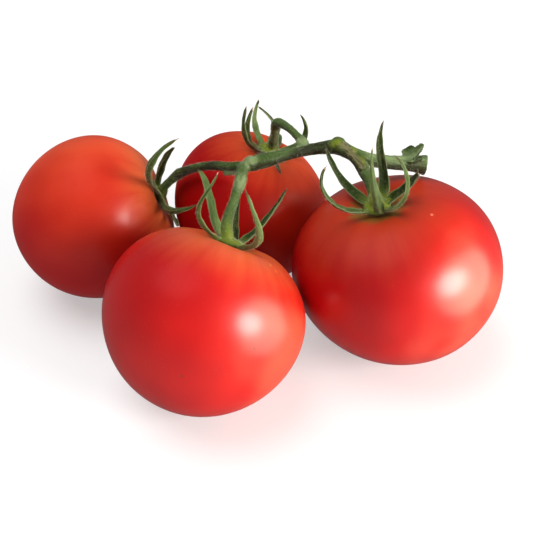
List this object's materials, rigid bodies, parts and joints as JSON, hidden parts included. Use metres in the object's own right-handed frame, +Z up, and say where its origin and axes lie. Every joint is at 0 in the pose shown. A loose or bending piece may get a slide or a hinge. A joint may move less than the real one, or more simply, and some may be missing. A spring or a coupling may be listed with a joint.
{
  "type": "tomato truss",
  "caption": "Vine-ripe round tomatoes joined by one green truss stem, each resting on a small flat, with narrow curling sepals.",
  "frame": {"origin": "centre of the whole truss seen from above, on the surface it rests on", "axes": "+X along the truss toward the cut end of the stem, +Z up, and the side seen in the picture faces -Y"},
  "size_m": [0.1795, 0.1324, 0.0882],
  "materials": {
    "tomato_skin": "smooth waxy red skin, lighter orange round the stem end",
    "sepal_green": "matt, finely hairy green",
    "stem_green": "matt, finely hairy green with woody patches"
  },
  "bodies": {
    "root": {"tomato_front": "tomato_skin", "tomato_left": "tomato_skin", "tomato_back": "tomato_skin", "tomato_right": "tomato_skin", "calyx_front": "sepal_green", "calyx_left": "sepal_green", "calyx_back": "sepal_green", "calyx_right": "sepal_green", "truss_stem": "stem_green"}
  },
  "joints": []
}
